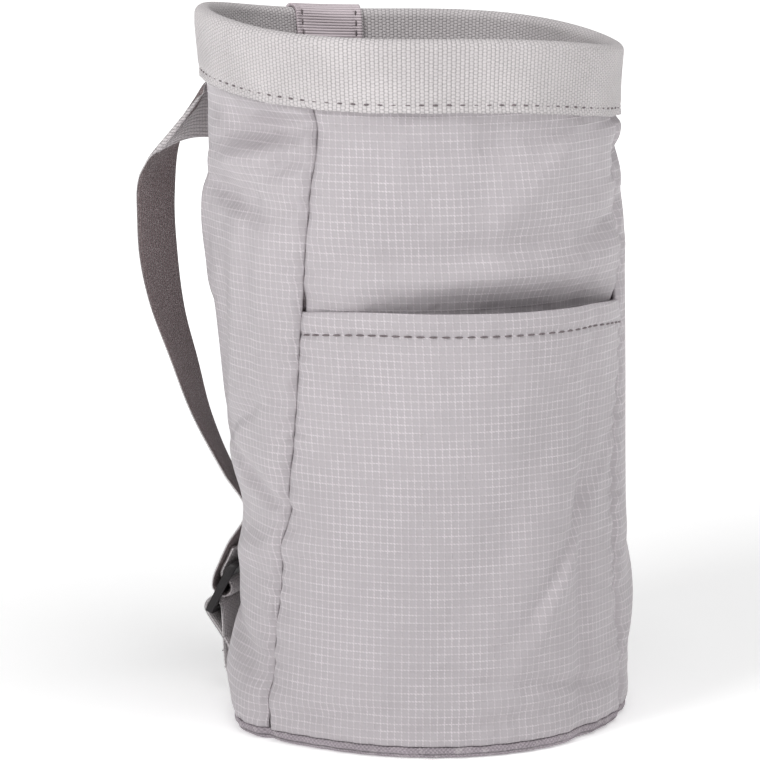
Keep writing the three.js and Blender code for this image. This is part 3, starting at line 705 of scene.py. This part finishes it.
def grosgrain_finish(name, colour, rib):
    """Ribbed tape: fine ribs across it, with small threads along each rib."""
    f = Finish(name, 0.75, 0.2)
    u, v = f.threads()
    ribs = f.ripple(v, rib)
    small = f.ripple(u, TAPE_THREAD)
    # Painted shade: the grooves between the ribs are darkened
    shade = f.mix(f.range(ribs, 0.05, 0.6, 0.32, 0), f.clouds(60, colour, 0.94), toned(colour, 0.6))
    relief = f.maths("ADD", f.maths("POWER", ribs, 0.7), f.maths("MULTIPLY", small, 0.2))
    return f.done(shade, f.range(ribs, 0, 1, 0.9, 0.7), f.bump(relief, 0.00018))


def canvas_finish(name, colour, pitch):
    """Plain weave: threads over and under in both directions."""
    f = Finish(name, 0.85, 0.15)
    u, v = f.threads()
    over = f.maths("MULTIPLY", f.maths("SINE", f.maths("MULTIPLY", u, math.pi / pitch)),
                   f.maths("SINE", f.maths("MULTIPLY", v, math.pi / pitch)))
    weave = f.range(over, -0.8, 0.8, 0, 1)
    dust = f.range(f.noise(420, 3), 0.52, 0.72, 0, 0.35)
    base = f.clouds(55, colour, 0.9)
    # Painted highlight: the raised crossings of the weave are lightened
    shade = f.mix(f.maths("MULTIPLY", weave, 0.5), base, toned(colour, 1.25))
    shade = f.mix(dust, shade, linear(CHALK_DUST))
    soft = f.bump(f.noise(150, 2), 0.0003)
    return f.done(shade, f.range(weave, 0, 1, 0.95, 0.8), f.bump(weave, 0.00016, soft))


def thread_finish(name, colour):
    """Twisted sewing thread."""
    f = Finish(name, 0.6, 0.2)
    twist = f.noise(3200, 1, (1, 1, 2.5))
    # Painted shade: the low parts of the twist are darkened
    shade = f.mix(f.range(twist, 0.35, 0.65, 0, 1), toned(colour, 0.72), linear(colour))
    return f.done(shade, f.range(twist, 0.3, 0.7, 0.7, 0.5), f.bump(twist, 0.00008))


def plastic_finish(name, colour):
    """Moulded plastic with a fine satin grain and a few rubbed, paler spots."""
    f = Finish(name, 0.42)
    grain, rubbed = f.noise(3800, 2), f.noise(240, 3)
    shade = f.mix(f.range(rubbed, 0.5, 0.75, 0, 0.5), linear(colour), toned(colour, 1.5))
    return f.done(shade, f.range(rubbed, 0.35, 0.7, 0.36, 0.55), f.bump(grain, 0.00005))


# What a user may change

def colour_of(name, about, default):
    return FloatVectorProperty(
        name=name, description=about, subtype="COLOR_GAMMA", size=3, min=0, max=1, default=default)


def size_of(name, about, default):
    return FloatProperty(
        name=name, description=about, unit="LENGTH", subtype="DISTANCE", min=0, default=default, precision=5)


def power_of(name, about, default):
    return FloatProperty(name=name, description=about, unit="POWER", min=0, default=default)


class ChalkBagSizes(bpy.types.PropertyGroup):
    seam_groove: size_of("Seam groove", "How deep both panels roll in at a side seam", 0.0014)
    seam_pucker: size_of("Seam pucker", "Height of the small gathers beside a side seam", 0.0004)
    hem_depth: size_of("Hem depth", "Folded hem of the pocket's mouth, down to its stitches", 0.0052)
    stitch_pitch: size_of("Stitch pitch", "From one stitch to the next on the pocket's hem", 0.0030)
    rim_stitch_pitch: size_of("Rim stitch pitch", "From one stitch to the next on the rim band", 0.0033)
    stitch_width: size_of("Stitch width", "Thickness of the sewing thread", 0.00055)
    rim_rib: size_of("Rim rib", "Width of one rib of the rim webbing", 0.00106)
    tape_rib: size_of("Tape rib", "Height of one rib of the joint tape", 0.00075)
    buckle_edge: size_of("Buckle edge", "Rounding of the ladder lock's edges", 0.00035)
    panel_rows: IntProperty(
        name="Panel rows", description="Rows of mesh on a wall panel", default=190, min=40, max=300)


class ChalkBagColours(bpy.types.PropertyGroup):
    cloth: colour_of("Cloth", "Colour of the wall's cloth", (0.722, 0.699, 0.713))
    webbing: colour_of("Webbing", "Colour of the rim band, the strap and the tab", (0.845, 0.824, 0.828))
    # The base's colour is darker than the wall's: partly the tone of its plain weave, partly painted shade
    # of its edge turning under
    base: colour_of("Base", "Colour of the base's plain weave", (0.62, 0.585, 0.61))
    tape: colour_of("Tape", "Colour of the joint tape", (0.89, 0.84, 0.86))
    thread: colour_of("Thread", "Colour of the stitches", (0.520, 0.480, 0.490))
    plastic: colour_of("Plastic", "Colour of the ladder lock", (0.150, 0.140, 0.145))
    floor: colour_of("Floor", "Colour of the plain floor", (0.97, 0.97, 0.97))


class ChalkBagStage(bpy.types.PropertyGroup):
    key_power: power_of("Key light", "Power of the large soft light", 12.3)
    fill_power: power_of("Fill light", "Power of the soft light across from it", 2.6)
    sky: FloatProperty(
        name="Room light", description="Strength of the even light all round", default=0.21, min=0)


def finish_named(name, make, *details):
    """The material of that name, made once."""
    return bpy.data.materials.get(name) or make(name, *details)


def wall_cloth():
    return finish_named("wall cloth", ripstop_finish, bpy.context.scene.chalk_bag_colours.cloth)


def rim_webbing():
    colour, rib = bpy.context.scene.chalk_bag_colours.webbing, bpy.context.scene.chalk_bag_sizes.rim_rib
    return finish_named("rim webbing", webbing_finish, colour, rib, RIM_PICK)


def sewing_thread():
    return finish_named("sewing thread", thread_finish, bpy.context.scene.chalk_bag_colours.thread)


def strap_webbing():
    colour = bpy.context.scene.chalk_bag_colours.webbing
    return finish_named("strap webbing", webbing_finish, colour, STRAP_RIB, STRAP_PICK, True)


def tab_webbing():
    colour = bpy.context.scene.chalk_bag_colours.webbing
    return finish_named("tab webbing", webbing_finish, colour, STRAP_RIB, STRAP_PICK)


class CHALKBAG_OT_back_wall(bpy.types.Operator):
    """Make the side and back wall, one panel of cloth between the two seams"""

    bl_idname = "chalkbag.back_wall"
    bl_label = "Back wall"

    def execute(self, context):
        start = lambda z: seam_angle("right", z)
        end = lambda z: seam_angle("left", z) + 360
        rows = context.scene.chalk_bag_sizes.panel_rows
        bm = panel(230, rows, start, end, cloth_top, lambda angle, z: 0 * z)
        finish_piece("back_wall", bm, wall_cloth(), ["back_panel"], CLOTH)
        return {"FINISHED"}


class CHALKBAG_OT_front_wall(bpy.types.Operator):
    """Make the front wall, which falls in behind the pocket's mouth"""

    bl_idname = "chalkbag.front_wall"
    bl_label = "Front wall"

    def execute(self, context):
        start, end = lambda z: seam_angle("left", z), lambda z: seam_angle("right", z)
        bm = panel(130, context.scene.chalk_bag_sizes.panel_rows, start, end, cloth_top, front_offset)
        finish_piece("front_wall", bm, wall_cloth(), ["front_panel"], CLOTH)
        return {"FINISHED"}


class CHALKBAG_OT_pocket(bpy.types.Operator):
    """Make the front pocket with the folded, stitched hem of its mouth"""

    bl_idname = "chalkbag.pocket"
    bl_label = "Front pocket"

    def execute(self, context):
        sizes = context.scene.chalk_bag_sizes
        hem, pitch = sizes.hem_depth / MM, sizes.stitch_pitch / MM
        start, end = lambda z: seam_angle("left", z), lambda z: seam_angle("right", z)

        def offset(angle, z):
            below = mouth_height(angle) - z
            puff = 0.3 * hill(below - hem / 2, hem / 3)
            hole = 0.75 + 0.25 * np.cos(2 * math.pi * np.radians(angle) * BAG_RADIUS / pitch)
            return pocket_offset(angle, z) + puff - 0.36 * hole * hill(below - hem, 0.75)

        rise = POCKET_HEIGHT - BASE_RIM
        bm = panel(150, 200, start, end, mouth_height, offset, past=(hem + HEM_TUCK) / rise)
        finish_piece("pocket", bm, wall_cloth(), ["front_pocket"], POCKET_CLOTH)
        left, right = start(POCKET_HEIGHT), end(POCKET_HEIGHT)
        step = math.degrees(pitch / BAG_RADIUS)
        angles = np.arange(left + step * 0.6, right - step * 0.4, step)
        z = mouth_height(angles) - hem
        bm = bmesh.new()
        points = wall_point(angles, z, offset(angles, z) + 0.12)
        stitch_row(bm, points, wall_normals(angles), pitch * 0.72)
        finish_piece("pocket_stitches", bm, sewing_thread())
        return {"FINISHED"}


class CHALKBAG_OT_seam_binding(bpy.types.Operator):
    """Make the narrow bindings that cover both side seams on the inside"""

    bl_idname = "chalkbag.seam_binding"
    bl_label = "Seam bindings"

    def execute(self, context):
        for side in ("left", "right"):
            def place(u, v, side=side):
                z = BASE_RIM + 1.2 + v * BINDING_LENGTH
                angle = seam_angle(side, z) + (u - 0.5) * math.degrees(BINDING_WIDTH / BAG_RADIUS)
                crown = 0.2 * (1 - (2 * u - 1) ** 2)
                return wall_point(angle, z, front_offset(angle, z) - CLOTH - 0.15 - crown)

            weave = lambda u, v: np.stack([u * BINDING_WIDTH, v * BINDING_LENGTH], axis=-1) * MM
            bm = formed_sheet(8, 120, place, weave)
            colour = context.scene.chalk_bag_colours.tape
            tape = finish_named("seam binding", grosgrain_finish, colour, BINDING_RIB)
            finish_piece(f"{side}_binding", bm, tape, thickness=BINDING)
        return {"FINISHED"}


class CHALKBAG_OT_base(bpy.types.Operator):
    """Make the round base, whose edge turns up to the bottom seam"""

    bl_idname = "chalkbag.base"
    bl_label = "Base"

    def execute(self, context):
        bm = bmesh.new()
        # Rows of the outline: radius share, inset as a share of the corner, and height
        steps, turned_up, count = 28, 8, 180
        outline = [(share, 1.0, 0.0) for share in np.linspace(0.03, 1, steps)]
        for step in range(1, turned_up + 1):
            turn = math.pi / 2 * step / turned_up
            outline.append((1.0, 1 - math.sin(turn), BASE_CORNER * (1 - math.cos(turn))))
        outline += [(1.0, 0.0, BASE_RIM - 0.2), (1.0, 0.35 / BASE_CORNER, BASE_RIM + 0.15)]
        # Each row is spun at a radius of its own, and then moved to its place
        keys = [rim[0] * 50 if row < steps else 51 + row for row, rim in enumerate(outline)]
        line = [bm.verts.new((key * MM, 0, 0)) for key in keys]
        edges = [bm.edges.new(pair) for pair in zip(line, line[1:])]
        bmesh.ops.spin(
            bm, geom=line + edges, cent=(0, 0, 0), axis=(0, 0, 1), angle=2 * math.pi, steps=count,
            use_merge=True)
        hole = [e for e in bm.edges if e.is_boundary and e.verts[0].co.length < 2 * MM]
        bmesh.ops.holes_fill(bm, edges=hole, sides=0)
        layer = bm.loops.layers.uv.new("weave")
        for vertex in bm.verts:
            reach = math.hypot(vertex.co.x, vertex.co.y) / MM
            row = int(np.argmin([abs(reach - key) for key in keys]))
            share, inset, z = outline[row]
            angle = math.degrees(math.atan2(vertex.co.x, -vertex.co.y))
            gather = 0.18 * math.sin(math.radians(angle * 40)) * (z > 0.5) - 0.4 * (row >= steps)
            rim = wall_point(angle, 0.0, gather - BASE_CORNER * inset)
            sag = 0.12 * math.sin(share * 9 + math.radians(angle * 3)) * (1 - share) * (row < steps)
            vertex.co = Vector((rim[0] * share, rim[1] * share, z + max(sag, 0))) * MM
        for face in bm.faces:
            for loop in face.loops:
                co = loop.vert.co
                if co.z > 1.2 * MM:
                    angle = math.atan2(co.x, -co.y)
                    loop[layer].uv = (angle * BAG_RADIUS * MM, co.z)
                else:
                    loop[layer].uv = (co.x, co.y)
        bmesh.ops.recalc_face_normals(bm, faces=bm.faces)
        underside = [face for face in bm.faces if face.calc_center_median().z < 0.5 * MM]
        if sum(face.normal.z for face in underside) > 0:
            bmesh.ops.reverse_faces(bm, faces=bm.faces)
        canvas = canvas_finish("base weave", context.scene.chalk_bag_colours.base, BASE_THREAD)
        finish_piece("base", bm, canvas, ["base_panel"], CLOTH * 0.95)
        return {"FINISHED"}


class CHALKBAG_OT_rim(bpy.types.Operator):
    """Make the rim webbing, folded over the cloth's edge and stitched near its lower edge"""

    bl_idname = "chalkbag.rim"
    bl_label = "Rim band"

    def execute(self, context):
        pitch = context.scene.chalk_bag_sizes.rim_stitch_pitch / MM
        middle, radius = -CLOTH / 2, CLOTH / 2 + GAP + WEBBING
        count = round(2 * math.pi * BAG_RADIUS / pitch)
        stitch_depth = BAND_HEIGHT - RIM_STITCH_MARGIN

        def press(angle, depth):
            hole = 0.7 + 0.3 * np.cos(np.radians(turned(angle, TAPE_ANGLE)) * count)
            soft = 0.14 * np.sin(np.radians(angle) * 17 + 1.4) * np.clip(depth / BAND_HEIGHT, 0, 1)
            return soft - 0.5 * hole * hill(depth - stitch_depth, 0.8)

        def place(u, v):
            angle = TAPE_ANGLE + 360 * u
            across, depth = fold_path(v, radius, BAND_HEIGHT)[:2]
            sign = np.where(v < 0.5, 1, -1)
            wave = 0.18 * np.sin(np.radians(angle) * 23) * np.clip(depth / BAND_HEIGHT, 0, 1)
            offset = middle + across + sign * press(angle, depth)
            return wall_point(angle, rim_top(angle) - depth - wave * 0.4, offset)

        def weave(u, v):
            run = fold_path(v, radius, BAND_HEIGHT)[2]
            return np.stack([2 * math.pi * BAG_RADIUS * u * MM, run * MM], axis=-1)

        bm = formed_sheet(560, 60, place, weave)
        bmesh.ops.remove_doubles(bm, verts=[v for v in bm.verts if v.is_boundary], dist=2e-6)
        finish_piece("rim_webbing", bm, rim_webbing(), ["rim_band"], WEBBING)
        bm = bmesh.new()
        angles = TAPE_ANGLE + 360 * (np.arange(count) + 0.5) / count
        z = rim_top(angles) - stitch_depth
        for inward in (False, True):
            face = middle + radius * (-1 if inward else 1) + (0.3 if inward else -0.3)
            normals = wall_normals(angles, inward)
            stitch_row(bm, wall_point(angles, z, face), normals, pitch * 0.42)
        finish_piece("rim_stitches", bm, sewing_thread())
        return {"FINISHED"}


class CHALKBAG_OT_joint_tape(bpy.types.Operator):
    """Make the ribbed tape over the rim's joint, with its two rows of stitches"""

    bl_idname = "chalkbag.joint_tape"
    bl_label = "Joint tape"

    def execute(self, context):
        sizes, colours = context.scene.chalk_bag_sizes, context.scene.chalk_bag_colours
        middle, radius = -CLOTH / 2, CLOTH / 2 + GAP + WEBBING + GAP + TAPE
        half, row = TAPE_WIDTH / 2, TAPE_WIDTH / 2 - TAPE_STITCH_MARGIN

        def surface(along, v):
            angle = TAPE_ANGLE + math.degrees(1 / BAG_RADIUS) * along
            across, depth, run = fold_path(v, radius, BAND_HEIGHT + TAPE + GAP)
            press = sum(0.3 * hill(along - line, 0.7) for line in (-row, row))
            soft = 0.12 * np.sin(run * 0.8 + along * 0.25)
            sign = np.cos(math.pi * np.clip((v - 0.42) / 0.16, 0, 1))
            offset = middle + across + sign * (soft - press)
            return wall_point(angle, rim_top(angle) - depth + TAPE + GAP, offset), run

        def place(u, v):
            return surface((2 * u - 1) * half, v)[0]

        def weave(u, v):
            along = (2 * u - 1) * half
            return np.stack([along, surface(along, v)[1]], axis=-1) * MM

        bm = formed_sheet(44, 96, place, weave)
        tape = grosgrain_finish("joint tape", colours.tape, sizes.tape_rib)
        finish_piece("rim_tape", bm, tape, ["joint_tape"], TAPE)
        bm = bmesh.new()
        shares = np.concatenate([np.arange(0.03, 0.40, 0.062), np.arange(0.6, 0.97, 0.062)])
        for along in (-row, row):
            points = surface(np.full(shares.shape, along), shares)[0]
            for inward in (False, True):
                chosen = shares > 0.5 if inward else shares < 0.5
                normals = wall_normals(np.full(int(chosen.sum()), TAPE_ANGLE), inward)
                stitch_row(bm, points[chosen], normals, 1.8)
        finish_piece("tape_stitches", bm, sewing_thread())
        return {"FINISHED"}


class CHALKBAG_OT_strap(bpy.types.Operator):
    """Make the side strap, its free bow and its way through the ladder lock"""

    bl_idname = "chalkbag.strap"
    bl_label = "Side strap"

    def execute(self, context):
        bm = webbing_run(strap_rows(), 8)
        finish_piece("strap", bm, strap_webbing(), ["side_strap"])
        bm = bmesh.new()
        level, face = STRAP_ROUTE[0][2] * BAG_HEIGHT, GAP + WEBBING + 0.05
        angles = STRAP_ROOT_ANGLE + np.arange(0.8, 13.0, 2.4) * 180 / (math.pi * BAG_RADIUS)
        for up in (-STRAP_BOX_HALF, STRAP_BOX_HALF):
            stitch_row(bm, wall_point(angles, level + up, face), wall_normals(angles), 1.9)
        heights = level + np.arange(-4.4, 4.5, 2.2)
        for along in STRAP_BOX:
            angles = np.full(heights.shape, STRAP_ROOT_ANGLE + math.degrees(along / BAG_RADIUS))
            stitch_row(bm, wall_point(angles, heights, face), wall_normals(angles), 1.7)
        finish_piece("strap_stitches", bm, sewing_thread())
        return {"FINISHED"}


class CHALKBAG_OT_buckle(bpy.types.Operator):
    """Make the ladder lock from its solid, with moulded, rounded edges"""

    bl_idname = "chalkbag.buckle"
    bl_label = "Ladder lock"

    def execute(self, context):
        bm = bmesh.new()
        bm.from_mesh(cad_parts["ladder_lock"].data)
        bmesh.ops.remove_doubles(bm, verts=bm.verts, dist=1e-6)
        bmesh.ops.dissolve_limit(bm, angle_limit=math.radians(1), verts=bm.verts, edges=bm.edges)
        edge = context.scene.chalk_bag_sizes.buckle_edge
        sharp_from = math.radians(35)
        sharp = [e for e in bm.edges if len(e.link_faces) == 2 and e.calc_face_angle() > sharp_from]
        bmesh.ops.bevel(
            bm, geom=sharp, offset=edge, segments=2, profile=0.5, affect="EDGES", material=-1,
            clamp_overlap=True)
        plastic = plastic_finish("buckle plastic", context.scene.chalk_bag_colours.plastic)
        finish_piece("buckle", bm, plastic, ["ladder_lock"])
        return {"FINISHED"}


class CHALKBAG_OT_tab(bpy.types.Operator):
    """Make the webbing tab that holds the ladder lock at the base seam"""

    bl_idname = "chalkbag.tab"
    bl_label = "Buckle tab"

    def execute(self, context):
        bm = webbing_run(tab_rows(), 6)
        finish_piece("tab", bm, tab_webbing(), ["buckle_tab"])
        bm = bmesh.new()
        alongs, width = np.arange(-TAB_STITCH_HALF, TAB_STITCH_HALF + 0.1, 2.06), buckle_place(0, 0)[1]
        angles = np.full(alongs.shape, BUCKLE_ANGLE)
        for up in TAB_STITCH_ROWS:
            outer = wall_point(angles, BASE_RIM + up, 2 * (GAP + WEBBING) + 0.05)
            stitch_row(bm, outer - width[None, :] * alongs[:, None], wall_normals(angles), 1.6)
        finish_piece("tab_stitches", bm, sewing_thread())
        return {"FINISHED"}


# The lights' names, places and sizes, and where the camera stands, in metres
LIGHTS = (
    ("key light", (-1.25, -0.75, 1.05), 0.45),
    ("fill light", (1.3, -0.7, 0.7), 1.1),
    ("top light", (0.1, -0.55, 1.55), 0.9),
)
TOP_LIGHT_SHARE = 0.85
LIGHTS_AIM = (0, 0, 0.09)
CAMERA_PLACE = (-0.2782, -0.8822, 0.248)
CAMERA_AIM = (-0.01192, 0.00376, 0.0873)
CAMERA_LENS = 171.05


def look_at(thing, place, aim):
    """Puts a light or the camera in its place, turned to what it looks at."""
    thing.location = place
    thing.rotation_euler = (Vector(aim) - Vector(place)).to_track_quat("-Z", "Y").to_euler()
    bpy.context.scene.collection.objects.link(thing)


class CHALKBAG_OT_stage(bpy.types.Operator):
    """Make the plain floor, the soft lights and the camera"""

    bl_idname = "chalkbag.stage"
    bl_label = "Stage"

    def execute(self, context):
        scene, look = context.scene, context.scene.chalk_bag_stage
        bm = bmesh.new()
        bmesh.ops.create_grid(bm, x_segments=2, y_segments=2, size=7)
        mesh = bpy.data.meshes.new("floor")
        bm.to_mesh(mesh)
        bm.free()
        floor = bpy.data.objects.new("floor", mesh)
        scene.collection.objects.link(floor)
        paper = Finish("floor paper", 0.9)
        tint, white = linear(scene.chalk_bag_colours.floor), linear((0.98, 0.98, 0.98))
        shade = paper.mix(paper.range(paper.noise(3, 2), 0.3, 0.7, 0, 1), tint, white)
        away = paper.nodes.new("ShaderNodeVectorMath")
        away.operation = "LENGTH"
        paper.links.new(paper.place(), away.inputs[0])
        bright = paper.range(away.outputs["Value"], 0.1, 0.9, 0.32, 1)
        glow = paper.mix(bright, (0, 0, 0, 1), (1, 1, 1, 1))
        paper.links.new(glow, paper.shader.inputs["Emission Color"])
        paper.shader.inputs["Emission Strength"].default_value = 1.0
        mesh.materials.append(paper.done(shade, paper.range(paper.noise(9, 1), 0, 1, 0.85, 0.95),
                                         paper.bump(paper.noise(400, 1), 0.00001)))
        scene.world = scene.world or bpy.data.worlds.new("room")
        scene.world.use_nodes = True
        room = scene.world.node_tree.nodes["Background"]
        room.inputs["Color"].default_value = (1, 1, 1, 1)
        room.inputs["Strength"].default_value = look.sky
        powers = (look.key_power, look.fill_power, look.key_power * TOP_LIGHT_SHARE)
        for (name, place, size), power in zip(LIGHTS, powers):
            lamp = bpy.data.lights.new(name, "AREA")
            lamp.size, lamp.energy = size, power
            look_at(bpy.data.objects.new(name, lamp), place, LIGHTS_AIM)
        lens = bpy.data.cameras.new("camera")
        lens.lens, lens.sensor_width, lens.clip_end = CAMERA_LENS, 36, 50
        camera = bpy.data.objects.new("camera", lens)
        look_at(camera, CAMERA_PLACE, CAMERA_AIM)
        scene.camera = camera
        scene.view_settings.view_transform = "Standard"
        return {"FINISHED"}


PIECES = (
    CHALKBAG_OT_back_wall, CHALKBAG_OT_front_wall, CHALKBAG_OT_pocket, CHALKBAG_OT_seam_binding,
    CHALKBAG_OT_base, CHALKBAG_OT_rim, CHALKBAG_OT_joint_tape, CHALKBAG_OT_strap,
    CHALKBAG_OT_buckle, CHALKBAG_OT_tab, CHALKBAG_OT_stage,
)


class CHALKBAG_PT_sidebar(bpy.types.Panel):
    """Lists the bag's pieces, sizes and colours"""

    bl_idname = "CHALKBAG_PT_sidebar"
    bl_label = "Chalk bag"
    bl_space_type = "VIEW_3D"
    bl_region_type = "UI"
    bl_category = "Chalk bag"

    def draw(self, context):
        for operator in PIECES:
            self.layout.operator(operator.bl_idname)
        scene = context.scene
        for group in (scene.chalk_bag_sizes, scene.chalk_bag_colours, scene.chalk_bag_stage):
            for name in group.bl_rna.properties.keys():
                if name not in ("rna_type", "name"):
                    self.layout.prop(group, name)


CLASSES = (ChalkBagSizes, ChalkBagColours, ChalkBagStage, *PIECES, CHALKBAG_PT_sidebar)


def register():
    for cls in CLASSES:
        bpy.utils.register_class(cls)
    bpy.types.Scene.chalk_bag_sizes = PointerProperty(type=ChalkBagSizes)
    bpy.types.Scene.chalk_bag_colours = PointerProperty(type=ChalkBagColours)
    bpy.types.Scene.chalk_bag_stage = PointerProperty(type=ChalkBagStage)


def unregister():
    del bpy.types.Scene.chalk_bag_stage
    del bpy.types.Scene.chalk_bag_colours
    del bpy.types.Scene.chalk_bag_sizes
    for cls in reversed(CLASSES):
        bpy.utils.unregister_class(cls)


def main():
    register()
    bpy.ops.chalkbag.back_wall()
    bpy.ops.chalkbag.front_wall()
    bpy.ops.chalkbag.pocket()
    bpy.ops.chalkbag.seam_binding()
    bpy.ops.chalkbag.base()
    bpy.ops.chalkbag.rim()
    bpy.ops.chalkbag.joint_tape()
    bpy.ops.chalkbag.strap()
    bpy.ops.chalkbag.buckle()
    bpy.ops.chalkbag.tab()
    bpy.ops.chalkbag.stage()


if __name__ == "__main__":
    main()
